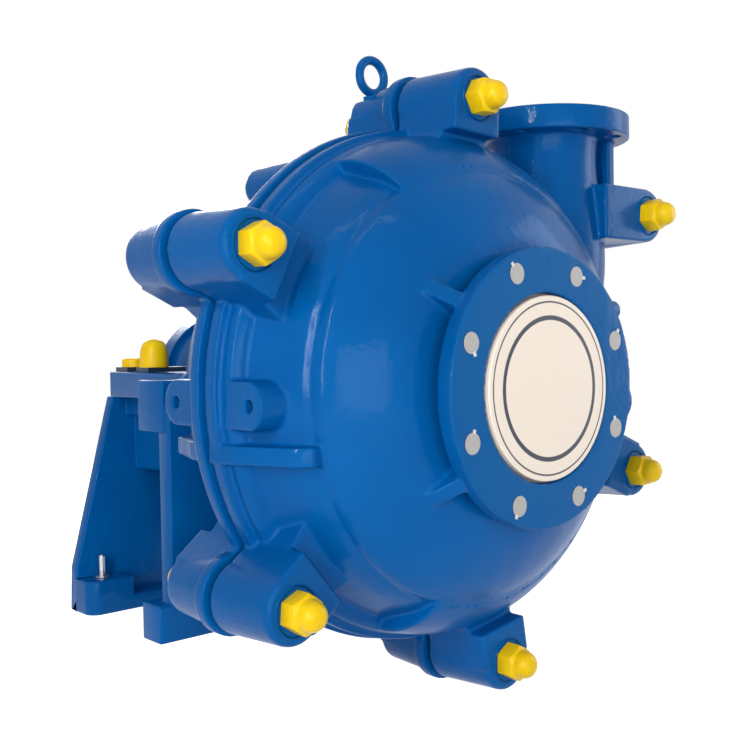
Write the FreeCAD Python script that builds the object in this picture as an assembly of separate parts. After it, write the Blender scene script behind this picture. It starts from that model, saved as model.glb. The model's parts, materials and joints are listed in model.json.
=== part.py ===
import math, os
import FreeCAD, Part

os.makedirs("parts", exist_ok=True)
V = FreeCAD.Vector

# Row frame: origin at the centre of the suction flange face, shaft along +Y, discharge pointing +Z.

# Clearances
SEAT_GAP = 0.3
LINER_GAP = 0.5
RUN_GAP = 0.05
TRAVEL = 1.5
COLLAR_GAP = 0.3

# Suction flange
SUC_R = 152.5
SUC_T = 20.0
SUC_PCD = 264.0
SUC_HOLE_R = 10.0
SUC_HOLES = 8
SUC_BORE_R = 103.0
THROAT_R = 76.0
BLANK_R = 100.0

# Discharge flange
DIS_X = 257.0
DIS_Z = 354.0
DIS_T = 30.0
DIS_R = 114.5
DIS_PCD = 190.5
DIS_HOLE_R = 9.5
DIS_HOLES = 8
DIS_BORE_R = 51.0

# Casing halves, meeting at the split plane
SPLIT_Y = 208.0
SPLIT_HALF = 0.4
GROOVE_HALF = 4.0
GROOVE_R = 296.0
RIM_R = 305.0
RIM_LIP = 4.0
RIM_T = 19.0
FRONT_FACE_Y = 110.0
REAR_FACE_Y = 300.0
BOSS_R = 38.0
BAR_END_R = 293.0
SPOT_R = 28.0
SPOT_D = 0.8
STUD_R = 10.0
STUD_CLEAR = 0.8
STUD_OUT = 28.0
NUT_AF = 30.0
NUT_H = 17.0
CAP_AF = 38.0
CAP_L = 39.0
# each bolt: centre x, centre z, and the turn of its cap in degrees
COVER_BOLTS = {
    "upper_left": (-305.0, 148.0, 30.0),
    "top": (15.0, 333.0, 0.0),
    "upper_right": (361.0, 222.0, 25.0),
    "lower_right": (324.0, -127.0, 0.0),
    "bottom": (56.0, -332.0, 30.0),
    "lower_left": (-263.0, -214.0, 25.0),
}
LINER_T = 20.0
BRANCH_SHARE = 0.5
LINER_EYE_R = 200.0

# Base
FOOT_Z = -310.0
FOOT_H = 46.0
FOOT_BAR_H = 20.0
FOOT_X = 218.0
PAD_X1 = 250.0
FOOT_Y0 = 421.0
FOOT_Y1 = 606.0
FOOT_HOLE_R = 9.0
WALL_Y = 397.0
WALL_T = 14.0
REAR_WALL_Y = 620.0
BASE_END_Y = 638.0
RAIL_TOP = 18.0
RAIL_X0 = 150.0
RAIL_X1 = 200.0
RAIL_END_Y = 606.0
SEAT_X = 2.0
SCREW_Z = -132.0
BOLT_R = 8.0
BOLT_HOLE_R = 8.2
BOLT_AF = 24.0
BOLT_HEAD = 10.0
WASHER_T = 6.0
CLAMP_X = 176.0
CLAMP_END_Z = -12.0
CLAMP_Y = (526.0, 582.0)
FRAME_PCR = 178.0

# Shaft line
SHAFT_END_Y = 780.0
DRIVE_L = 100.0
DRIVE_R = 32.5
KEY_W = 18.0
KEY_D = 7.0
KEY_L = 34.0
JOURNAL_R = 45.0
SLEEVE_R = 42.0
HOUSING_R = 88.0
HOUSING_END_R = 95.0
HOUSING_Y0 = 466.0
HOUSING_Y1 = 650.0
COVER_T = 10.0
COVER_SPIGOT = 22.0
BEARING_R = 75.0
BEARING_W = 40.0
GLAND_X = 72.0


def rod(r, y0, y1, x=0.0, z=0.0):
    return Part.makeCylinder(r, y1 - y0, V(x, y0, z), V(0, 1, 0))


def ring(r_in, r_out, y0, y1, x=0.0, z=0.0):
    return rod(r_out, y0, y1, x, z).cut(rod(r_in, y0 - 1, y1 + 1, x, z))


def cone(r0, r1, y0, y1, x=0.0, z=0.0):
    return Part.makeCone(r0, r1, y1 - y0, V(x, y0, z), V(0, 1, 0))


def post(r, z0, z1, x=0.0, y=0.0):
    return Part.makeCylinder(r, z1 - z0, V(x, y, z0), V(0, 0, 1))


def block(x0, x1, y0, y1, z0, z1):
    return Part.makeBox(x1 - x0, y1 - y0, z1 - z0, V(x0, y0, z0))


def outline(path, place):
    edges = []
    last = None
    first = None
    for item in path:
        pts = [place(*p) for p in item] if isinstance(item, list) else [place(*item)]
        if last is not None and last.distanceToPoint(pts[0]) > 1e-6:
            edges.append(Part.makeLine(last, pts[0]))
        if len(pts) > 1:
            curve = Part.BSplineCurve()
            curve.interpolate(pts)
            edges.append(curve.toShape())
        first = first or pts[0]
        last = pts[-1]
    edges.append(Part.makeLine(last, first))
    return Part.Face(Part.Wire(edges))


def turn(path, angle=360.0, start=0.0):
    # path is (radius, y); angles count from +X towards +Z
    body = outline(path, lambda r, y: V(r, y, 0)).revolve(V(0, 0, 0), V(0, -1, 0), angle)
    body.rotate(V(0, 0, 0), V(0, -1, 0), start)
    return body


def slab(path, y0, y1):
    return outline(path, lambda x, z: V(x, y0, z)).extrude(V(0, y1 - y0, 0))


def plate_x(path, x0, x1):
    return outline(path, lambda y, z: V(x0, y, z)).extrude(V(x1 - x0, 0, 0))


def plate_z(path, z0, z1):
    return outline(path, lambda x, y: V(x, y, z0)).extrude(V(0, 0, z1 - z0))


def hexagon(af, y0, y1, x=0.0, z=0.0, twist=0.0):
    corners = [(x + cx, z + cz) for cx, cz in on_circle(af / math.sqrt(3), 6, twist)]
    return slab(corners, y0, y1)


def hexagon_z(af, z0, z1, x, y):
    corners = [(x + cx, y + cy) for cx, cy in on_circle(af / math.sqrt(3), 6, 0.0)]
    return plate_z(corners, z0, z1)


def on_circle(radius, count, first_deg):
    steps = [math.radians(first_deg + 360.0 * k / count) for k in range(count)]
    return [(radius * math.cos(a), radius * math.sin(a)) for a in steps]


def keep(node, shape):
    shape.exportStep("parts/" + node + ".step")


def mirrored(shape):
    # the rear half takes the front half's form, turned about the split plane
    return shape.mirror(V(0, SPLIT_Y, 0), V(0, 1, 0))


def round_loft(levels):
    # circles at (x, z, radius), stacked upwards on the split plane
    rings = []
    for x, z, r in levels:
        circle = Part.Circle(V(x, SPLIT_Y, z), V(0, 0, 1), r)
        rings.append(Part.Wire([circle.toShape()]))
    return Part.makeLoft(rings, True, False)


def tube_up(grow):
    # discharge branch, rising from the volute to the flange; its liner thins towards the flange
    top = grow * BRANCH_SHARE
    return round_loft([(205.0, -10.0, 44.0 + grow), (233.0, 110.0, 50.0 + grow), (252.0, 230.0, DIS_BORE_R + top),
                       (DIS_X, DIS_Z, DIS_BORE_R + top)])


def volute(grow):
    # flow space of the volute, grown outwards by the given wall
    g = grow
    half = [(0, 74 + g), (200, 70 + g), (224 + 0.6 * g, 58 + 0.8 * g), (239 + 0.9 * g, 34 + 0.5 * g), (244 + g, 0)]
    front = [(r, SPLIT_Y - h) for r, h in half]
    back = [(r, SPLIT_Y + h) for r, h in reversed(half)]
    front[0] = (0, front[1][1])
    back[-1] = (0, back[-2][1])
    return turn(front + back[1:]).fuse(tube_up(g))


# Outer form of one casing half, front side
rim_front = SPLIT_Y - GROOVE_HALF - RIM_T + 2
dome = [(121, 27), (130, 33), (160, 38), (190, 48), (222, 66), (248, 90)]
bead = [(282, 166), (290, 169), (295, 174), (GROOVE_R, 181)]
band = turn([(0, 0), (SUC_R, 0), (SUC_R, SUC_T), (121, SUC_T), dome, (249, 98), (255, 105), (262, 118), (279, 166), bead,
             (GROOVE_R, rim_front), (RIM_R - 1.5, rim_front), (RIM_R, rim_front + 1.5), (RIM_R, SPLIT_Y), (0, SPLIT_Y)])
raised = turn([(150, 150), (150, 100), (230, 80), [(238, 80.5), (256, 92), (274, 110), (287, 133), (293, 160)],
               (294, 182), (298, rim_front), (RIM_R, rim_front + 1), (RIM_R, SPLIT_Y), (150, SPLIT_Y)], 231.0, -110.0)
neck = round_loft([(214.0, -20.0, 74.0), (240.0, 110.0, 87.0), (246.0, 195.0, 86.0), (249.0, 250.0, 78.0),
                   (DIS_X - 6, DIS_Z - DIS_T + 2, 76.0)])


def boss(x, z, face):
    # drafted bolt boss, rounded at its face, measured from the split plane
    body = turn([(0, -face), (BOSS_R - 8, -face), [(BOSS_R - 8, -face), (BOSS_R - 3.5, 2 - face), (BOSS_R - 1.5, 7 - face)],
                 (BOSS_R + 3, 0), (0, 0)])
    body.translate(V(x, SPLIT_Y, z))
    return body


def bar(x, z, face):
    # radial bar from the boss to the casing: flush with the boss first, then lower and flared
    r = math.hypot(x, z)
    ux, uz = x / r, z / r

    def at(radius, side):
        return (ux * radius - uz * side, uz * radius + ux * side)

    upper = slab([at(r, BOSS_R), at(BAR_END_R, BOSS_R), at(BAR_END_R, -BOSS_R), at(r, -BOSS_R)], SPLIT_Y - face, SPLIT_Y)
    flare = slab([at(BAR_END_R + 6, BOSS_R - 1), at(246, BOSS_R + 12), at(246, -BOSS_R - 12), at(BAR_END_R + 6, 1 - BOSS_R)],
                 SPLIT_Y - face + 22, SPLIT_Y)
    return upper.fuse(flare)


def bolt_bosses(face):
    parts = [boss(x, z, face) for x, z, twist in COVER_BOLTS.values()]
    parts += [bar(x, z, face) for key, (x, z, twist) in COVER_BOLTS.items() if key != "upper_right"]
    x, z, twist = COVER_BOLTS["upper_right"]
    parts.append(block(262, x, SPLIT_Y - face, SPLIT_Y, z - BOSS_R + 2, z + BOSS_R - 2))
    return parts


flange_half = post(DIS_R, DIS_Z - DIS_T, DIS_Z, DIS_X, SPLIT_Y)
neck_web = plate_x([(146, DIS_Z - DIS_T + 1), (146, 228), (175, 192), (SPLIT_Y, 165), (SPLIT_Y, DIS_Z - DIS_T + 1)],
                   318, 334)
front_space = block(-600, 600, -50, SPLIT_Y - SPLIT_HALF, -600, 600)
stud_holes = [rod(STUD_R + STUD_CLEAR, FRONT_FACE_Y - 20, REAR_FACE_Y + 30, x, z) for x, z, twist in COVER_BOLTS.values()]
spots = []
for x, z, twist in COVER_BOLTS.values():
    spots.append(rod(SPOT_R, FRONT_FACE_Y - 1, FRONT_FACE_Y + SPOT_D, x, z))
    spots.append(rod(SPOT_R, REAR_FACE_Y - SPOT_D, REAR_FACE_Y + 1, x, z))
flange_holes = None
for hx, hy in on_circle(DIS_PCD / 2, DIS_HOLES, 22.5):
    hole = post(DIS_HOLE_R, DIS_Z - DIS_T - 30, DIS_Z + 1, DIS_X + hx, SPLIT_Y + hy)
    flange_holes = hole if flange_holes is None else flange_holes.fuse(hole)

common = raised.fuse([neck, flange_half, neck_web])
cavity = volute(LINER_T + LINER_GAP)
# the rims and bosses stand apart; only the inner joint faces, the neck and the flange meet
groove = ring(GROOVE_R, 480, SPLIT_Y - GROOVE_HALF, SPLIT_Y + GROOVE_HALF)
groove = groove.cut(block(DIS_X - 96, 340, 190, 230, 190, 420)).cut(post(DIS_R + 2, 316, 420, DIS_X, SPLIT_Y))
face_groove = turn([(246.5, 60), (249.5, 60), (249.5, 92), (246.5, 92)])
bush_seat = turn([(0, -5), (SUC_BORE_R, -5), (SUC_BORE_R, 46), (125, 51), (160, 57), (190, 68), (LINER_EYE_R, 74),
                  (LINER_EYE_R, 150), (0, 150)])

# Cover plate: the front half, with suction flange, ribs and lugs
side_rib = plate_z([(-302, SPLIT_Y), (-296, 168), (-276, 118), [(-276, 118), (-268, 99), (-254, 89)], (-240, 92),
                    (-240, SPLIT_Y)], -70, -50)
low_rib = side_rib.copy()
low_rib.rotate(V(0, 0, 0), V(0, -1, 0), 147)


def lug_form(x0, x1, y, z, half):
    # D-shaped lifting lug with a blind hole in its outer face
    form = plate_x([(SPLIT_Y, z - half), (y + half, z - half),
                    [(y + half, z - half), (y + 0.3 * half, z - 0.72 * half), (y, z), (y + 0.3 * half, z + 0.72 * half),
                     (y + half, z + half)], (SPLIT_Y, z + half)], min(x0, x1), max(x0, x1))
    hole = Part.makeCylinder(7, 24, V(x1, y + 22, z), V(1 if x1 < 0 else -1, 0, 0))
    return form.cut(hole)


lug = lug_form(-255, -296, 118, -9, 25)
lug_right = lug_form(255, 302, 98, -31, 35)
lug_small = lug_form(240, 274, 96, 90, 13)
gussets = []
for deg in (38, 142, 218, 322):
    fin = plate_z([(118, 12), (150, 12), (190, 52), (150, 60), (118, 60)], -9, 9)
    fin.rotate(V(0, 0, 0), V(0, -1, 0), deg)
    gussets.append(fin)
cover = band.fuse([common] + bolt_bosses(SPLIT_Y - FRONT_FACE_Y) + gussets + [side_rib, low_rib, lug, lug_right, lug_small])
cover = cover.common(front_space)
cover = cover.cut([cavity, bush_seat, flange_holes, groove, face_groove] + stud_holes + spots)
for hx, hz in on_circle(SUC_PCD / 2, SUC_HOLES, 22.5):
    cover = cover.cut(rod(SUC_HOLE_R, -1, SUC_T + 10, hx, hz))
keep("cover_plate", cover)

# Frame plate: the rear half, with its back wall and the spigot ring that meets the base
lip_y = SPLIT_Y + RIM_T
lip_r = RIM_R + RIM_LIP
rear_form = turn([(0, SPLIT_Y), (lip_r, SPLIT_Y), (lip_r, lip_y - 1.5), (lip_r - 1.5, lip_y), (289, lip_y + 2),
                  (283, lip_y + 9), (268, 290), [(262, 304), (248, 322), (222, 334), (196, 340)], (196, 377.7), (0, 377.7)])
rear_common = mirrored(common).common(block(-600, 600, SPLIT_Y, 352, -600, 600))
rear_lugs = [mirrored(lug), mirrored(lug_right), mirrored(side_rib)]
rear_bosses = [mirrored(piece) for piece in bolt_bosses(REAR_FACE_Y - SPLIT_Y)]
boss_lips = [rod(BOSS_R + 3 + RIM_LIP, SPLIT_Y, lip_y, x, z) for x, z, twist in COVER_BOLTS.values()]
rear_boss = turn([(0, lip_y), (24, lip_y), (24, 308), [(24, 308), (21, 315), (14, 318)], (0, 318)])
rear_boss.translate(V(-150, 0, 238))
frame_plate = rear_form.fuse([rear_common, rear_boss] + rear_lugs + rear_bosses + boss_lips)
frame_plate = frame_plate.common(block(-600, 600, SPLIT_Y + SPLIT_HALF, 400, -600, 600))
back_seat = turn([(0, 250), (LINER_EYE_R, 250), (LINER_EYE_R, 318), (0, 318)])
back_bore = turn([(0, 338), (150, 338), (150, 400), (0, 400)])
frame_plate = frame_plate.cut([cavity, back_seat, back_bore, flange_holes, groove, rod(81, 300, 400)] + stud_holes + spots)
pad_z = 357.0
frame_plate = frame_plate.cut(block(-45, 52, 256, 310, pad_z, 400))
frame_plate = frame_plate.cut(post(6.2, pad_z - 12, pad_z + 1, 0, 277))
for fx, fz in on_circle(FRAME_PCR, 4, 45):
    frame_plate = frame_plate.cut(rod(8.2, 346, 400, fx, fz))
keep("frame_plate", frame_plate)

# Volute liner: one closed piece between the halves, open to the front and back for the bushes
liner = volute(LINER_T).cut(volute(0.0))
liner = liner.cut(rod(LINER_EYE_R, 100, 320))
liner = liner.common(block(-600, 600, 0, 500, -600, DIS_Z))
keep("volute_liner", liner)

# Throatbush: suction liner behind the suction flange
bush = turn([(THROAT_R, 9.3), (SUC_BORE_R - LINER_GAP, 9.3), (SUC_BORE_R - LINER_GAP, 46.5), (125, 51.5), (160, 57.5),
             (190, 68.5), (LINER_EYE_R - LINER_GAP, 74.6), (LINER_EYE_R - LINER_GAP, 158), (186, 160), (96, 134),
             (THROAT_R, 134)])
keep("throatbush", bush)

# Back liner behind the impeller
back = turn([(48, 249), (150, 249), (LINER_EYE_R - LINER_GAP, 257), (LINER_EYE_R - LINER_GAP, 317.7), (48, 317.7)])
back_pocket = turn([(100, 275), (180, 280), (180, 330), (100, 330)])
keep("back_liner", back.cut(back_pocket))

# Stuffing box and what fills it
box = turn([(47, 318.3), (80.5, 318.3), (80.5, 338.3), (100, 338.3), (100, 350), (84, 352), (84, 388), (57, 388),
            (57, 332), (47, 332)])
for sx in (-GLAND_X, GLAND_X):
    box = box.cut(rod(6.2, 360, 400, sx))
keep("stuffing_box", box)
ring_in = SLEEVE_R + 0.3
ring_out = 56.8
keep("neck_ring", ring(ring_in, ring_out, 332.2, 338))
keep("packing_inner", ring(ring_in, ring_out, 338.2, 350))
lantern = ring(ring_in, ring_out, 350.2, 360)
lantern = lantern.cut(ring(50, 60, 353, 357))
keep("lantern_ring", lantern)
keep("packing_outer", ring(ring_in, ring_out, 360.2, 384))

# Gland: two halves on two studs, drawn back along the shaft for repacking
gland = ring(SLEEVE_R + 1.0, 56.5, 384.4, 404)
oval = slab([(-92, -16), (-60, -38), (60, -38), (92, -16), (92, 16), (60, 38), (-60, 38), (-92, 16)], 402, 414)
gland = gland.fuse(rod(64, 402, 414).fuse(oval)).cut(rod(SLEEVE_R + 1.0, 380, 420))
for sx in (-GLAND_X, GLAND_X):
    gland = gland.cut(rod(6.4, 380, 420, sx))
keep("gland_upper", gland.common(block(-200, 200, 380, 420, 0.2, 100)))
keep("gland_lower", gland.common(block(-200, 200, 380, 420, -100, -0.2)))
for side, sx in (("left", -GLAND_X), ("right", GLAND_X)):
    keep("gland_stud_" + side, rod(6.0, 362, 447, sx))
    nut = hexagon(19, 414, 424, sx).cut(rod(6.4, 410, 430, sx))
    keep("gland_nut_" + side, nut)

# Cover bolts with their nuts, and the plastic caps over both ends
front_seat = FRONT_FACE_Y + SPOT_D
rear_seat = REAR_FACE_Y - SPOT_D
cap_path = [(0, 0), [(0, 0), (8, 0.8), (12.5, 4), (15.3, 9), (16.3, 14)], (16.8, 17), (18.5, 18.5), (22.2, 21), (22.2, CAP_L),
            (0, CAP_L)]
for key, (x, z, twist) in COVER_BOLTS.items():
    stud = rod(STUD_R, FRONT_FACE_Y - STUD_OUT, REAR_FACE_Y + STUD_OUT, x, z)
    stud = stud.fuse(hexagon(NUT_AF, front_seat - NUT_H, front_seat, x, z, twist))
    stud = stud.fuse(hexagon(NUT_AF, rear_seat, rear_seat + NUT_H, x, z, twist))
    keep("cover_bolt_" + key, stud)
    form = turn(cap_path)
    form = form.common(hexagon(CAP_AF, 0, CAP_L, 0, 0, twist))
    nut_room = rod(NUT_AF / math.sqrt(3) + SEAT_GAP, CAP_L - NUT_H - 0.5, CAP_L + 1)
    stud_room = rod(STUD_R + 1, CAP_L - STUD_OUT - 4, CAP_L)
    cap = form.cut([nut_room, stud_room])
    cap.translate(V(x, front_seat - CAP_L, z))
    keep("cap_front_" + key, cap)
    keep("cap_rear_" + key, cap.mirror(V(0, (front_seat + rear_seat) / 2, 0), V(0, 1, 0)))

# Lifting eyebolt on the rear half's top boss
eye_z = 388.0
eye = Part.makeTorus(20.5, 5.6, V(0, 277, eye_z), V(0, 1, 0))
eye = eye.fuse(post(6, pad_z - 11.8, eye_z - 21, 0, 277)).fuse(post(12, pad_z, pad_z + 5, 0, 277))
keep("eyebolt", eye)

# Suction blank: loose plug that covers the bore for transport
blank = turn([(0, -3), (BLANK_R - 1, -3), (BLANK_R, -2), (BLANK_R, 9), (THROAT_R - SEAT_GAP, 9), (THROAT_R - SEAT_GAP, 24),
              (THROAT_R - 6, 24), (THROAT_R - 6, 3), (0, 3)])
keep("suction_blank", blank)

# Base: two cross walls on feet, joined by a centre web and by rails that carry the bearing housing
base = ring(125, 200, 378, WALL_Y + WALL_T)
base = base.fuse(slab([(-232, FOOT_Z), (232, FOOT_Z), (232, -20), (202, RAIL_TOP), (-202, RAIL_TOP), (-232, -20)],
                      WALL_Y, WALL_Y + WALL_T))
rear_wall = slab([(-PAD_X1, FOOT_Z), (PAD_X1, FOOT_Z), (PAD_X1 - 2, -250), (188, -17), (-188, -17), (2 - PAD_X1, -250)],
                 REAR_WALL_Y, BASE_END_Y)
base = base.fuse([rear_wall, block(-9, 9, 400, REAR_WALL_Y + 10, -255, -160)])
right_side = []
for y0, y1 in ((WALL_Y, 440), (REAR_WALL_Y - 42, BASE_END_Y)):
    pad = block(FOOT_X - 34, PAD_X1, y0, y1, FOOT_Z, FOOT_Z + FOOT_H)
    if y0 > WALL_Y:
        corners = [e for e in pad.Edges if abs(e.Vertexes[0].Z - e.Vertexes[1].Z) > 1 and e.Vertexes[0].X > FOOT_X]
        pad = pad.makeFillet(18, corners)
    right_side += [pad, block(150 if y0 == WALL_Y else 104, FOOT_X, y0, y1, FOOT_Z, FOOT_Z + FOOT_BAR_H)]
right_side.append(block(RAIL_X0, RAIL_X1, WALL_Y, RAIL_END_Y, -17, RAIL_TOP))
right_side.append(block(104, 168, WALL_Y, BASE_END_Y, -44, -17))
right_side.append(block(RAIL_X1 - 4, 236, 405, 465, -54, 10))
right_side.append(block(140, 154, WALL_Y, BASE_END_Y, -120, -40))
right_side.append(slab([(222, FOOT_Z), (232, FOOT_Z), (232, -54), (222, -54)], WALL_Y, WALL_Y + 26))
base = base.fuse(right_side + [piece.mirror(V(0, 0, 0), V(1, 0, 0)) for piece in right_side])
base = base.fuse(rod(20, BASE_END_Y - 32, BASE_END_Y, 0, SCREW_Z))
holes = [rod(125, 370, WALL_Y + WALL_T + 1), rod(106, WALL_Y, 700), rod(8.2, 590, 650, 0, SCREW_Z)]
arch = [(-150, FOOT_Z - 1), (-128, -262), (128, -262), (150, FOOT_Z - 1)]
rear_arch = [(-102, FOOT_Z - 1), (-84, -262), (84, -262), (102, FOOT_Z - 1)]
holes += [slab(arch, WALL_Y - 8, 444), slab(rear_arch, REAR_WALL_Y - 60, BASE_END_Y + 8)]
for side in (-1, 1):
    for y in (FOOT_Y0, FOOT_Y1):
        holes.append(post(FOOT_HOLE_R, FOOT_Z - 1, FOOT_Z + FOOT_H + 1, side * FOOT_X, y))
    for y in CLAMP_Y:
        holes.append(post(BOLT_HOLE_R, CLAMP_END_Z - 1, RAIL_TOP + 1, side * CLAMP_X, y))
for fx, fz in on_circle(FRAME_PCR, 4, 45):
    holes.append(rod(BOLT_HOLE_R, 370, 420, fx, fz))
keep("base", base.cut(holes))

# Frame bolts between base and frame plate
for name, (fx, fz) in zip(("upper_right", "upper_left", "lower_left", "lower_right"), on_circle(FRAME_PCR, 4, 45)):
    bolt = rod(BOLT_R, 348, 412, fx, fz).fuse(hexagon(BOLT_AF, WALL_Y + WALL_T, WALL_Y + WALL_T + BOLT_HEAD, fx, fz))
    keep("frame_bolt_" + name, bolt)

# Bearing cartridge: housing on two side flanges, its end covers and bearings
screw_lug_y = (HOUSING_Y0 + HOUSING_Y1) / 2
housing = rod(HOUSING_R, HOUSING_Y0, HOUSING_Y1)
housing = housing.fuse([rod(HOUSING_END_R, HOUSING_Y0, HOUSING_Y0 + 16), rod(HOUSING_END_R, HOUSING_Y1 - 16, HOUSING_Y1)])
housing = housing.fuse(block(SEAT_X - RAIL_X0, RAIL_X0 - SEAT_X, 474, 632, SEAT_GAP - 17, RAIL_TOP - SEAT_GAP))
housing = housing.fuse(block(-18, 18, screw_lug_y - 8, screw_lug_y + 8, SCREW_Z - 18, 0))
housing = housing.cut([rod(BEARING_R, HOUSING_Y0 - 1, HOUSING_Y1 + 1), rod(BOLT_R + 0.5, 530, 590, 0, SCREW_Z)])
keep("bearing_housing", housing)
cover_in = JOURNAL_R + 1
spigot = BEARING_R - 0.5
end_cover = turn([(cover_in, HOUSING_Y0 - COVER_T - 4), (70, HOUSING_Y0 - COVER_T - 4), (70, HOUSING_Y0 - COVER_T),
                  (HOUSING_END_R, HOUSING_Y0 - COVER_T), (HOUSING_END_R, HOUSING_Y0), (spigot, HOUSING_Y0),
                  (spigot, HOUSING_Y0 + COVER_SPIGOT), (64, HOUSING_Y0 + COVER_SPIGOT), (64, HOUSING_Y0 + 4),
                  (cover_in, HOUSING_Y0 + 4)])
keep("end_cover_front", end_cover)
keep("end_cover_rear", end_cover.mirror(V(0, (HOUSING_Y0 + HOUSING_Y1) / 2, 0), V(0, 1, 0)))
for name, y0 in (("front", HOUSING_Y0 + COVER_SPIGOT), ("rear", HOUSING_Y1 - COVER_SPIGOT - BEARING_W)):
    race_in = JOURNAL_R + RUN_GAP
    race_out = BEARING_R - 0.2
    race = ring(race_in, race_out, y0, y0 + BEARING_W)
    race = race.cut([ring(57, 65, y0 - 1, y0 + 4), ring(57, 65, y0 + BEARING_W - 4, y0 + BEARING_W + 1)])
    keep("bearing_" + name, race)

# Clamp bolts, washers and caps that hold the cartridge to the rails
for side, sign in (("left", -1), ("right", 1)):
    for end, y in (("front", CLAMP_Y[0]), ("rear", CLAMP_Y[1])):
        x = sign * CLAMP_X
        x0, x1 = sorted((sign * 128, sign * 194))
        washer = block(x0, x1, y - 16, y + 16, RAIL_TOP, RAIL_TOP + WASHER_T).cut(post(BOLT_HOLE_R, 0, 40, x, y))
        keep("clamp_washer_" + end + "_" + side, washer)
        head_z = RAIL_TOP + WASHER_T
        bolt = post(BOLT_R, CLAMP_END_Z, head_z + BOLT_HEAD, x, y).fuse(hexagon_z(BOLT_AF, head_z, head_z + BOLT_HEAD, x, y))
        keep("clamp_bolt_" + end + "_" + side, bolt)
    dome_path = [[(0, 38), (7.5, 37), (13.5, 33), (17.5, 24), (19, 9)], (19.5, 0), (14.1, 0), (14.1, BOLT_HEAD + 1.5),
                 (0, BOLT_HEAD + 1.5)]
    cap = outline(dome_path, lambda r, h: V(r, 0, h)).revolve(V(0, 0, 0), V(0, 0, 1), 360)
    cap.translate(V(sign * CLAMP_X, CLAMP_Y[0], RAIL_TOP + WASHER_T))
    keep("clamp_cap_" + side, cap)

# Adjusting screw under the housing; its collars set the cartridge's travel
screw = rod(BOLT_R, screw_lug_y - 24, BASE_END_Y + 14, 0, SCREW_Z)
screw = screw.fuse([hexagon(BOLT_AF, BASE_END_Y + 12, BASE_END_Y + 24, 0, SCREW_Z),
                    hexagon(BOLT_AF, screw_lug_y - 20, screw_lug_y - 8 - TRAVEL - COLLAR_GAP, 0, SCREW_Z),
                    hexagon(BOLT_AF, screw_lug_y + 8 + TRAVEL + COLLAR_GAP, screw_lug_y + 20, 0, SCREW_Z)])
keep("adjusting_screw", screw)

# Rotor: shaft, sleeve and closed impeller
drive_y = SHAFT_END_Y - DRIVE_L
shaft = turn([(0, 150), (24, 150), (26, 152), (26, 262), (34, 262), (34, 440.5), (JOURNAL_R, 440.5), (JOURNAL_R, drive_y - 8),
              (38, drive_y - 8), (38, drive_y), (DRIVE_R, drive_y), (DRIVE_R, SHAFT_END_Y - 2), (DRIVE_R - 2, SHAFT_END_Y),
              (0, SHAFT_END_Y)])
key_mid = SHAFT_END_Y - 8 - KEY_L / 2
key_reach = (KEY_L - KEY_W) / 2
key_slot = block(-KEY_W / 2, KEY_W / 2, key_mid - key_reach, key_mid + key_reach, DRIVE_R - KEY_D, DRIVE_R + 1)
key_slot = key_slot.fuse([post(KEY_W / 2, DRIVE_R - KEY_D, DRIVE_R + 1, 0, key_mid - key_reach),
                          post(KEY_W / 2, DRIVE_R - KEY_D, DRIVE_R + 1, 0, key_mid + key_reach)])
keep("shaft", shaft.cut(key_slot))
keep("shaft_sleeve", ring(34.0, SLEEVE_R, 262.2, 440))
shrouds = turn([(26, 172), (44, 172), (52, 232), (182, 236), (182, 245), (42, 245), (42, 262), (26, 262)])
front_shroud = turn([(80, 138.5), (90, 138.5), (182, 166), (182, 175), (96, 150), (80, 146)])
vanes = []
for k in range(5):
    pts = []
    for r, deg in ((60, 0), (95, 34), (140, 66), (180, 92)):
        a = math.radians(deg + 72 * k)
        pts.append((r * math.cos(a), r * math.sin(a)))
    inner = []
    for r, deg in ((181, 86), (140, 58), (95, 24), (60, -14)):
        a = math.radians(deg + 72 * k)
        inner.append((r * math.cos(a), r * math.sin(a)))
    vanes.append(slab([pts, inner], 142, 240))
envelope = turn([(40, 160), (84, 144), (96, 148), (181, 170), (181, 240), (40, 240)])
blades = vanes[0].fuse(vanes[1:]).common(envelope)
keep("impeller", shrouds.fuse([front_shroud, blades]))
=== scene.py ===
import json
import math
import bmesh
import bpy
from mathutils import Euler, Matrix, Vector

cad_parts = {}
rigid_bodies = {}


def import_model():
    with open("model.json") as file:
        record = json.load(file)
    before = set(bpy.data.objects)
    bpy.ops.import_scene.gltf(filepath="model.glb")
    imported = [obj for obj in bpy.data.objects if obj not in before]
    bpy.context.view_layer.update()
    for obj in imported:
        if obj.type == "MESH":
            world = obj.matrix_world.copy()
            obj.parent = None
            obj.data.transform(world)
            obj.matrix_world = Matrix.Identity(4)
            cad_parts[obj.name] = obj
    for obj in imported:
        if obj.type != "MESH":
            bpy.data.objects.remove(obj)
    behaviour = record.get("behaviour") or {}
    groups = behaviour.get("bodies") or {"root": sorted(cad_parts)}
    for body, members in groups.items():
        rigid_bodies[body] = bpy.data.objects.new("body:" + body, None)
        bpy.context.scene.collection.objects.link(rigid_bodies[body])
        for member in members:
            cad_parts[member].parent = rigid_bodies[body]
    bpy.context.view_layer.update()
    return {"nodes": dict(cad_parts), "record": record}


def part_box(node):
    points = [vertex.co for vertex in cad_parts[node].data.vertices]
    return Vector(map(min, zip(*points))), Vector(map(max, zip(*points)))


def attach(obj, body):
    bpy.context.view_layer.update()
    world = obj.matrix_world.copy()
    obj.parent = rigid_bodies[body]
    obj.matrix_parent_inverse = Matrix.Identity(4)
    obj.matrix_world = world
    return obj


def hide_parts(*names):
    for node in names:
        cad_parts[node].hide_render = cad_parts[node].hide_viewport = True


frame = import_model()
record = frame["record"]
nodes = frame["nodes"]
body_of = {n: b for b, members in record["behaviour"]["bodies"].items() for n in members}
mounts = {mount["name"]: mount for mount in record["mounts"]}
scene_objects = bpy.context.scene.collection.objects

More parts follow.
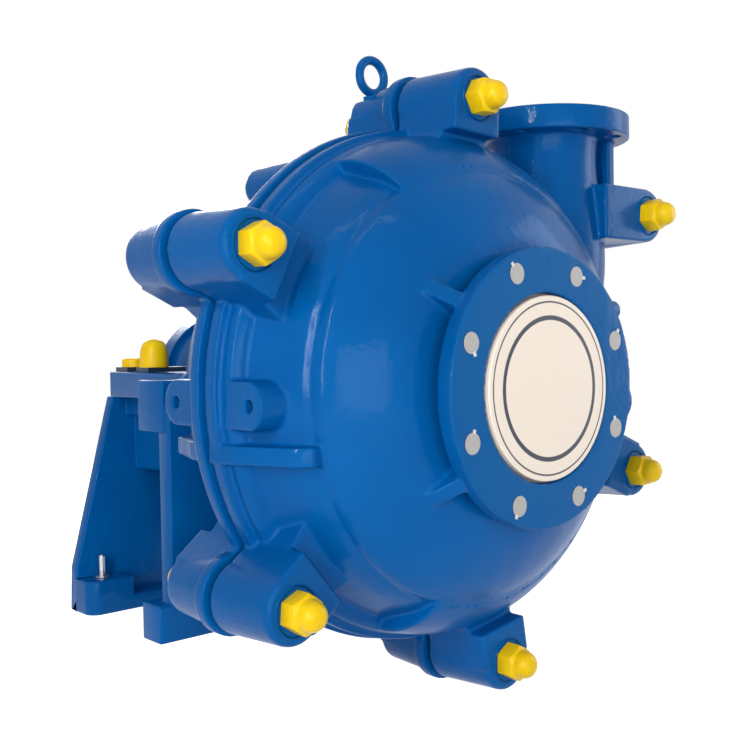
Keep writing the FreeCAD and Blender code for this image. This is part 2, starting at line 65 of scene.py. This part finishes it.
# Camera: low and to the front left of the suction end, almost level,
# so the dome, the left rim and the left side of the base all show.
cam_data = bpy.data.cameras.new("camera")
cam_data.sensor_width = 36.0
cam_data.lens = 49.86
cam_data.clip_start = 0.05
camera = bpy.data.objects.new("camera", cam_data)
camera.location = (-0.8887, -0.7056, 0.0522)
camera.rotation_euler = Euler([math.radians(a) for a in (88.2198, 0.8896, -42.0776)])
scene_objects.link(camera)
bpy.context.scene.camera = camera
bpy.context.scene.view_settings.view_transform = "Standard"


# Floor: one pale sheet below the casing. It shows white to the camera, also in gloss and through glass,
# and keeps the object's soft shadow.
def plain_to_camera(tree, strength_socket, as_light, as_seen):
    rays = tree.nodes.new("ShaderNodeLightPath")
    seen = rays.outputs["Is Camera Ray"]
    for ray in ("Is Glossy Ray", "Is Transmission Ray"):
        either = tree.nodes.new("ShaderNodeMath")
        either.operation = "MAXIMUM"
        tree.links.new(seen, either.inputs[0])
        tree.links.new(rays.outputs[ray], either.inputs[1])
        seen = either.outputs[0]
    strength = tree.nodes.new("ShaderNodeMapRange")
    strength.inputs["To Min"].default_value = as_light
    strength.inputs["To Max"].default_value = as_seen
    tree.links.new(seen, strength.inputs["Value"])
    tree.links.new(strength.outputs["Result"], strength_socket)


floor_z = -0.392
floor_reach = 9.0
floor_corners = [(x * floor_reach, y * floor_reach, floor_z) for x, y in ((-1, -1), (1, -1), (1, 1), (-1, 1))]
floor_mesh = bpy.data.meshes.new("floor")
floor_mesh.from_pydata(floor_corners, [], [(0, 1, 2, 3)])
floor = bpy.data.objects.new("floor", floor_mesh)
scene_objects.link(floor)
floor_pale = bpy.data.materials.new("floor_pale")
floor_pale.use_nodes = True
floor_shader = floor_pale.node_tree.nodes["Principled BSDF"]
floor_shader.inputs["Base Color"].default_value = (0.8, 0.8, 0.8, 1)
floor_shader.inputs["Roughness"].default_value = 1.0
floor_shader.inputs["Specular IOR Level"].default_value = 0.0
floor_shader.inputs["Emission Color"].default_value = (1, 1, 1, 1)
plain_to_camera(floor_pale.node_tree, floor_shader.inputs["Emission Strength"], 0.0, 0.93)
floor_mesh.materials.append(floor_pale)

# World: an even pale studio, seen as white by the camera and in gloss,
# and much dimmer as a light on the object.
studio = bpy.data.worlds.new("studio")
bpy.context.scene.world = studio
studio.use_nodes = True
background = studio.node_tree.nodes["Background"]
background.inputs["Color"].default_value = (1.0, 1.0, 1.0, 1)
plain_to_camera(studio.node_tree, background.inputs["Strength"], 0.12, 1.0)

# Studio lamps: a tall strip on the left that draws bright streaks along the rims, a strip above,
# a broad low fill from the front, and two that light the right side and the back.
for name, sides, place, aim, power, tint in (
        ("key_left", (0.12, 1.8), (-2.4, -0.9, 0.8), (0, 0.2, 0), 42, (1, 0.99, 0.97)),
        ("top", (1.8, 0.14), (-0.6, -0.2, 2.3), (0, 0.2, 0), 6, (1, 1, 1)),
        ("front_low", (1.8, 1.2), (-1.3, -2.3, 0.1), (0, 0.1, -0.05), 32, (1, 1, 1)),
        ("right", (1.0, 1.8), (2.4, -0.9, 0.7), (0.1, 0.2, 0), 20, (1, 1, 1)),
        ("rear", (1.6, 0.5), (0.9, 3.0, 1.1), (0, 0.4, -0.05), 34, (1, 1, 1))):
    light = bpy.data.lights.new(name, "AREA")
    light.shape = "RECTANGLE"
    light.size, light.size_y = sides
    light.energy = power
    light.color = tint
    lamp = bpy.data.objects.new(name, light)
    lamp.location = place
    lamp.rotation_euler = (Vector(aim) - Vector(place)).to_track_quat("-Z", "Y").to_euler()
    scene_objects.link(lamp)


# Blue paint: thick gloss enamel sprayed over sand castings, with a fine orange peel and a slow
# waviness from the casting below it. The machined suction face is duller and a little darker.
def new_material(name):
    material = bpy.data.materials.new(name)
    material.use_nodes = True
    return material, material.node_tree, material.node_tree.nodes["Principled BSDF"]


def object_point(tree):
    return tree.nodes.new("ShaderNodeTexCoord").outputs["Object"]


def noise(tree, point, scale, detail):
    texture = tree.nodes.new("ShaderNodeTexNoise")
    texture.inputs["Scale"].default_value = scale
    texture.inputs["Detail"].default_value = detail
    tree.links.new(point, texture.inputs["Vector"])
    return texture.outputs["Fac"]


def shades(tree, amount, low, high):
    ramp = tree.nodes.new("ShaderNodeValToRGB")
    ramp.color_ramp.elements[0].color = (*low, 1)
    ramp.color_ramp.elements[1].color = (*high, 1)
    tree.links.new(amount, ramp.inputs["Fac"])
    return ramp


def mapped(tree, amount, low, high):
    span = tree.nodes.new("ShaderNodeMapRange")
    span.inputs["To Min"].default_value = low
    span.inputs["To Max"].default_value = high
    tree.links.new(amount, span.inputs["Value"])
    return span


def relief(tree, height, strength, distance):
    bump = tree.nodes.new("ShaderNodeBump")
    bump.inputs["Strength"].default_value = strength
    bump.inputs["Distance"].default_value = distance
    tree.links.new(height, bump.inputs["Height"])
    return bump


paint, paint_tree, enamel = new_material("blue_paint")
enamel.inputs["Coat Weight"].default_value = 0.10
enamel.inputs["Coat Roughness"].default_value = 0.04
enamel.inputs["IOR"].default_value = 1.3
enamel.inputs["Specular IOR Level"].default_value = 0.2
enamel.inputs["Specular Tint"].default_value = (0.12, 0.55, 1.0, 1)
on_casting = object_point(paint_tree)
drift = noise(paint_tree, on_casting, 5.0, 5.0)
blues = shades(paint_tree, drift, (0.0002, 0.084, 0.300), (0.0004, 0.112, 0.390))
blues.color_ramp.elements[0].position = 0.3
blues.color_ramp.elements[1].position = 0.72
depth = paint_tree.nodes.new("ShaderNodeSeparateXYZ")
paint_tree.links.new(on_casting, depth.inputs["Vector"])
machined_face = mapped(paint_tree, depth.outputs["Y"], 1.0, 0.0)
machined_face.inputs["From Min"].default_value = 0.0012
machined_face.inputs["From Max"].default_value = 0.0030
dulled = paint_tree.nodes.new("ShaderNodeMix")
dulled.data_type = "RGBA"
dulled.inputs["B"].default_value = (0.0015, 0.105, 0.340, 1)
paint_tree.links.new(machined_face.outputs["Result"], dulled.inputs["Factor"])
paint_tree.links.new(blues.outputs["Color"], dulled.inputs["A"])
paint_tree.links.new(dulled.outputs["Result"], enamel.inputs["Base Color"])
roughened = paint_tree.nodes.new("ShaderNodeMix")
roughened.inputs["B"].default_value = 0.5
paint_tree.links.new(machined_face.outputs["Result"], roughened.inputs["Factor"])
paint_tree.links.new(mapped(paint_tree, drift, 0.26, 0.40).outputs["Result"], roughened.inputs["A"])
paint_tree.links.new(roughened.outputs["Result"], enamel.inputs["Roughness"])
orange_peel = relief(paint_tree, noise(paint_tree, on_casting, 240.0, 2.0), 0.16, 0.0012)
sand_waves = relief(paint_tree, noise(paint_tree, on_casting, 34.0, 3.0), 0.2, 0.005)
paint_tree.links.new(orange_peel.outputs["Normal"], sand_waves.inputs["Normal"])
paint_tree.links.new(sand_waves.outputs["Normal"], enamel.inputs["Normal"])
paint_tree.links.new(sand_waves.outputs["Normal"], enamel.inputs["Coat Normal"])


# Casing halves: sand castings in the CAD form, bolted together at the split plane.
# Their edges and inside corners are rounded by the mould and by thick paint.
def merged_copy(name, suffix, flat_angle):
    mesh = nodes[name].data.copy()
    mesh.materials.clear()
    work = bmesh.new()
    work.from_mesh(mesh)
    bmesh.ops.remove_doubles(work, verts=work.verts, dist=0.00002)
    if flat_angle:
        bmesh.ops.dissolve_limit(work, angle_limit=math.radians(flat_angle), verts=work.verts, edges=work.edges)
    work.to_mesh(mesh)
    work.free()
    copied = bpy.data.objects.new(name + suffix, mesh)
    scene_objects.link(copied)
    return copied


def settled(piece, material):
    done = bpy.data.meshes.new_from_object(piece.evaluated_get(bpy.context.evaluated_depsgraph_get()))
    piece.modifiers.clear()
    piece.data = done
    done.polygons.foreach_set("use_smooth", [True] * len(done.polygons))
    done.materials.clear()
    done.materials.append(material)
    return done


casting_triangles = 190000
for name in ("cover_plate", "frame_plate"):
    casting = merged_copy(name, "_cast", None)
    skin = casting.modifiers.new("grain", "REMESH")
    skin.mode = "VOXEL"
    skin.voxel_size = 0.0018
    soften = casting.modifiers.new("soften", "SMOOTH")
    soften.factor = 0.5
    soften.iterations = 6
    fine = casting.evaluated_get(bpy.context.evaluated_depsgraph_get()).data
    fine_triangles = len(fine.loops) - 2 * len(fine.polygons)
    thin = casting.modifiers.new("thin", "DECIMATE")
    thin.ratio = casting_triangles / fine_triangles
    settled(casting, paint)
    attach(casting, body_of[name])
    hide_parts(name)


# Base: one casting of two cross walls, a web and two rails on four feet,
# with sharper edges than the casing and a small round under the paint.
def rounded_edges(piece, width, segments, edge_angle):
    edge = piece.modifiers.new("edge", "BEVEL")
    edge.width = width
    edge.segments = segments
    edge.limit_method = "ANGLE"
    edge.angle_limit = math.radians(edge_angle)
    return edge


base_cast = merged_copy("base", "_cast", 1)
rounded_edges(base_cast, 0.0024, 3, 30).use_clamp_overlap = False
settled(base_cast, paint).set_sharp_from_angle(angle=math.radians(34))
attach(base_cast, body_of["base"])
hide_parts("base")


# Spotface rings: a narrow raised lip is left round each front bolt seat
# where the casting was machined flat. It is painted with the casing.
def turned(name, profile, axis, steps, closed, place, material):
    work = bmesh.new()
    points = [work.verts.new(Vector((radius, 0, 0)) + height * Vector(axis)) for radius, height in profile]
    for near, far in zip(points, points[1:] + points[:1] if closed else points[1:]):
        work.edges.new((near, far))
    bmesh.ops.spin(work, geom=work.verts[:] + work.edges[:], cent=(0, 0, 0), axis=axis, angle=math.tau,
                   steps=steps, use_merge=True)
    bmesh.ops.remove_doubles(work, verts=work.verts, dist=0.00001)
    bmesh.ops.holes_fill(work, edges=work.edges)
    bmesh.ops.recalc_face_normals(work, faces=work.faces)
    bmesh.ops.translate(work, verts=work.verts, vec=place)
    mesh = bpy.data.meshes.new(name)
    work.to_mesh(mesh)
    work.free()
    mesh.materials.append(material)
    piece = bpy.data.objects.new(name, mesh)
    scene_objects.link(piece)
    return piece


lip_height = 0.0022
for seat in ("upper_left", "top", "upper_right", "lower_right", "bottom", "lower_left"):
    cap = "cap_front_" + seat
    cap_low, cap_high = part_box(cap)
    seat_x = (cap_low[0] + cap_high[0]) / 2
    seat_z = (cap_low[2] + cap_high[2]) / 2
    seat_y = cap_high[1]
    cap_r = max(math.hypot(v.co.x - seat_x, v.co.z - seat_z) for v in nodes[cap].data.vertices)
    inner_r = cap_r * 1.11
    outer_r = cap_r * 1.26
    top_y = seat_y - lip_height
    lip = [(inner_r, seat_y + 0.001), (inner_r + 0.0004, top_y + 0.0006), (inner_r + 0.0014, top_y),
           (outer_r - 0.0022, top_y), (outer_r - 0.0008, top_y + 0.0008), (outer_r, seat_y + 0.001)]
    spotface = turned("spotface_" + seat, lip, (0, 1, 0), 64, True, (seat_x, 0, seat_z), paint)
    spotface.data.polygons.foreach_set("use_smooth", [True] * len(spotface.data.polygons))
    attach(spotface, body_of["cover_plate"])

# Bearing housing, end covers and eyebolt: turned and cast parts
# that keep their CAD form under the same paint.
for name in ("bearing_housing", "end_cover_front", "end_cover_rear", "eyebolt"):
    nodes[name].data.materials.clear()
    nodes[name].data.materials.append(paint)

# Yellow caps: soft moulded plastic pushed over the bolt ends, waxy and slightly translucent,
# with the faint shade changes of thin walls.
yellow, yellow_tree, wax = new_material("yellow_plastic")
wax.inputs["Roughness"].default_value = 0.34
wax.inputs["Subsurface Weight"].default_value = 0.25
wax.inputs["Subsurface Radius"].default_value = (0.006, 0.003, 0.0006)
wax.inputs["Specular IOR Level"].default_value = 0.25
wall_shade = noise(yellow_tree, object_point(yellow_tree), 30.0, 3.0)
yellows = shades(yellow_tree, wall_shade, (0.88, 0.54, 0.0005), (0.96, 0.67, 0.0008))
yellow_tree.links.new(yellows.outputs["Color"], wax.inputs["Base Color"])
yellow_tree.links.new(relief(yellow_tree, wall_shade, 0.06, 0.001).outputs["Normal"], wax.inputs["Normal"])
for name in nodes:
    if not name.startswith(("cap_front", "cap_rear", "clamp_cap")):
        continue
    moulded = merged_copy(name, "_moulded", 2)
    rounded_edges(moulded, 0.0009, 2, 24)
    settled(moulded, yellow).set_sharp_from_angle(angle=math.radians(40))
    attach(moulded, body_of[name])
    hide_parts(name)

# Low covers: shallow cups of the same yellow plastic,
# pressed over the heads of the rear clamp bolts.
cup_depth = 0.0098
for side in ("left", "right"):
    bolt = "clamp_bolt_rear_" + side
    bolt_low, bolt_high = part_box(bolt)
    head_top = bolt_high[2]
    cup = [(0, head_top + 0.0018), (0.0135, head_top + 0.0018), (0.0152, head_top), (0.0158, head_top - cup_depth),
           (0.0141, head_top - cup_depth), (0.0141, head_top + 0.0003), (0, head_top + 0.0003)]
    bolt_place = ((bolt_low[0] + bolt_high[0]) / 2, (bolt_low[1] + bolt_high[1]) / 2, 0)
    low_cover = turned("low_cover_" + side, cup, (0, 0, 1), 32, False, bolt_place, yellow)
    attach(low_cover, body_of[bolt])

# Suction blank: a cream disc with a brushed sheen, printed with a thin and a thick dark ring.
# Its middle is left bare.
cream, cream_tree, disc_face = new_material("cream_disc")
disc_face.inputs["Roughness"].default_value = 0.36
disc_face.inputs["Coat Weight"].default_value = 0.25
disc_face.inputs["Coat Roughness"].default_value = 0.15
across_face = cream_tree.nodes.new("ShaderNodeVectorMath")
across_face.operation = "MULTIPLY"
across_face.inputs[1].default_value = (1, 0, 1)
cream_tree.links.new(object_point(cream_tree), across_face.inputs[0])
from_centre = cream_tree.nodes.new("ShaderNodeVectorMath")
from_centre.operation = "LENGTH"
cream_tree.links.new(across_face.outputs[0], from_centre.inputs[0])
share_of_radius = mapped(cream_tree, from_centre.outputs["Value"], 0.0, 1.0)
share_of_radius.inputs["From Max"].default_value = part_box("suction_blank")[1][0]
ring_stops = [(0.0, "bare"), (0.735, "bare"), (0.739, "ink"), (0.786, "ink"), (0.790, "bare"),
              (0.921, "bare"), (0.924, "ink"), (0.940, "ink"), (0.943, "bare")]
ring_colours = {"bare": (0.91, 0.80, 0.69, 1), "ink": (0.002, 0.008, 0.034, 1)}
rings = cream_tree.nodes.new("ShaderNodeValToRGB")
while len(rings.color_ramp.elements) < len(ring_stops):
    rings.color_ramp.elements.new(0.5)
for stop, (position, print_name) in zip(rings.color_ramp.elements, ring_stops):
    stop.position = position
    stop.color = ring_colours[print_name]
cream_tree.links.new(share_of_radius.outputs["Result"], rings.inputs["Fac"])
cream_tree.links.new(rings.outputs["Color"], disc_face.inputs["Base Color"])
nodes["suction_blank"].data.materials.clear()
nodes["suction_blank"].data.materials.append(cream)

# Machined steel: shaft, sleeve, studs, nuts and glands,
# turned bright with a fine circular grain.
steel, steel_tree, bright = new_material("machined_steel")
bright.inputs["Metallic"].default_value = 1.0
along_shaft = steel_tree.nodes.new("ShaderNodeMapping")
along_shaft.inputs["Scale"].default_value = (1, 24, 1)
steel_tree.links.new(object_point(steel_tree), along_shaft.inputs["Vector"])
tool_marks = noise(steel_tree, along_shaft.outputs["Vector"], 40.0, 4.0)
steel_greys = shades(steel_tree, tool_marks, (0.36, 0.37, 0.39), (0.60, 0.61, 0.62))
steel_tree.links.new(steel_greys.outputs["Color"], bright.inputs["Base Color"])
steel_tree.links.new(mapped(steel_tree, tool_marks, 0.22, 0.44).outputs["Result"], bright.inputs["Roughness"])

# White iron of the wet end: liners, throatbush and impeller,
# dull grey with the pitting of a hard casting.
iron, iron_tree, dull = new_material("white_iron")
dull.inputs["Metallic"].default_value = 0.7
dull.inputs["Roughness"].default_value = 0.55
pits = noise(iron_tree, object_point(iron_tree), 70.0, 6.0)
iron_greys = shades(iron_tree, pits, (0.16, 0.155, 0.15), (0.36, 0.355, 0.34))
iron_tree.links.new(iron_greys.outputs["Color"], dull.inputs["Base Color"])
iron_tree.links.new(relief(iron_tree, pits, 0.35, 0.002).outputs["Normal"], dull.inputs["Normal"])

# Packing fibre, bronze, blackened washers and ground bearing steel
# for the small parts about the shaft.
finish_of = {"steel": steel, "white_iron": iron}
for finish, low, high, metal, roughness in (
        ("packing_fibre", (0.42, 0.38, 0.28), (0.70, 0.65, 0.52), 0.0, 0.9),
        ("bronze", (0.42, 0.25, 0.09), (0.66, 0.43, 0.17), 1.0, 0.35),
        ("black_steel", (0.010, 0.022, 0.045), (0.020, 0.040, 0.075), 0.0, 0.4),
        ("bearing_steel", (0.55, 0.55, 0.57), (0.72, 0.72, 0.74), 1.0, 0.18)):
    material, tree, shader = new_material(finish)
    shader.inputs["Metallic"].default_value = metal
    shader.inputs["Roughness"].default_value = roughness
    speckle = noise(tree, object_point(tree), 90.0, 4.0)
    tree.links.new(shades(tree, speckle, low, high).outputs["Color"], shader.inputs["Base Color"])
    finish_of[finish] = material
slot_of = {part["node"]: part["material_slot"] for part in record["subparts"]}
for name, node in nodes.items():
    if slot_of[name] in finish_of:
        node.data.materials.clear()
        node.data.materials.append(finish_of[slot_of[name]])

# Hole plugs: eight grey push-in plugs that close the suction flange's bolt holes for transport.
# Each is a soft moulded disc with a raised rim and a pull tab at its edge. It is one grey plastic in two copies: the
# rim is painted paler as a painted highlight, the middle darker as painted shade.
plug_lit_and_shaded_greys = []
# Lit and shaded copies of the one plug grey: a paler copy with painted highlight for the rim, a darker copy with
# painted shade for the middle.
for name, low, high in (("grey_plug_rim", (0.64, 0.63, 0.61), (0.78, 0.77, 0.75)),
                        ("grey_plug_middle", (0.38, 0.38, 0.37), (0.50, 0.49, 0.48))):
    grey, grey_tree, rubber = new_material(name)
    rubber.inputs["Roughness"].default_value = 0.5
    mould_grain = noise(grey_tree, object_point(grey_tree), 220.0, 2.0)
    grey_tree.links.new(shades(grey_tree, mould_grain, low, high).outputs["Color"], rubber.inputs["Base Color"])
    plug_lit_and_shaded_greys.append(grey)
flange_holes = mounts["suction_flange"]["dims"]
hole_circle_r = flange_holes["pcd_mm"] / 2000
hole_step = 360 / flange_holes["count"]
plug_r = 0.0112
plug_rim = 0.0022
rim_height = 0.0009
tab_size = (0.0034, 0.0046, 0.0011)
tab_turns = (24, 96, -40, 160, 10, 210, 64, -12)
for number, tab_turn in enumerate(tab_turns):
    hole_turn = math.radians(hole_step * (number + 0.5))
    hole = Vector((hole_circle_r * math.cos(hole_turn), -0.0002, hole_circle_r * math.sin(hole_turn)))
    work = bmesh.new()
    bmesh.ops.create_circle(work, cap_ends=True, radius=plug_r, segments=40)
    middle = work.faces[:]
    rim = bmesh.ops.inset_region(work, faces=middle, thickness=plug_rim)["faces"]
    # The middle face takes the darker copy (painted shade); the rim and tab keep the paler copy (painted highlight).
    middle[0].material_index = 1
    grown = bmesh.ops.extrude_face_region(work, geom=rim)["geom"]
    rim_top = [v for v in grown if isinstance(v, bmesh.types.BMVert)]
    bmesh.ops.translate(work, verts=rim_top, vec=(0, 0, rim_height))
    tab = bmesh.ops.create_cube(work, size=1.0)["verts"]
    bmesh.ops.scale(work, verts=tab, vec=tab_size)
    bmesh.ops.translate(work, verts=tab, vec=(0, plug_r + 0.0008, 0.0005))
    for angle, axis in ((90, "X"), (tab_turn, "Y")):
        bmesh.ops.rotate(work, verts=work.verts, cent=(0, 0, 0), matrix=Matrix.Rotation(math.radians(angle), 3, axis))
    bmesh.ops.translate(work, verts=work.verts, vec=hole)
    bmesh.ops.recalc_face_normals(work, faces=work.faces)
    plug_mesh = bpy.data.meshes.new("hole_plug_%d" % (number + 1))
    work.to_mesh(plug_mesh)
    work.free()
    for grey in plug_lit_and_shaded_greys:
        plug_mesh.materials.append(grey)
    plug = bpy.data.objects.new("hole_plug_%d" % (number + 1), plug_mesh)
    scene_objects.link(plug)
    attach(plug, body_of["cover_plate"])

# Transport studs: thin zinc-plated studs left standing in the left feet,
# with a washer on the rear one.
feet = mounts["foot_bolts"]
left_x = -feet["dims"]["spacing_x_mm"] / 2000
half_y = feet["dims"]["spacing_y_mm"] / 2000
foot_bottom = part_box("base")[0][2]
stud_r = 0.0042
point_r = 0.0030
washer_r = 0.0105
washer_low = foot_bottom + 0.0462
washer_high = foot_bottom + 0.0484
washer = [(stud_r, washer_low), (washer_r, washer_low), (washer_r, washer_high), (stud_r, washer_high)]
for name, y, stand, trim in (("foot_stud_rear", feet["pos_m"][1] + half_y, 0.076, washer),
                             ("foot_stud_front", feet["pos_m"][1] - half_y, 0.056, [])):
    top = foot_bottom + stand
    shank = [(stud_r, foot_bottom + 0.010), *trim, (stud_r, top - 0.0015), (point_r, top)]
    stud = turned(name, shank, (0, 0, 1), 24, False, (left_x, y, 0), steel)
    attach(stud, body_of["base"])
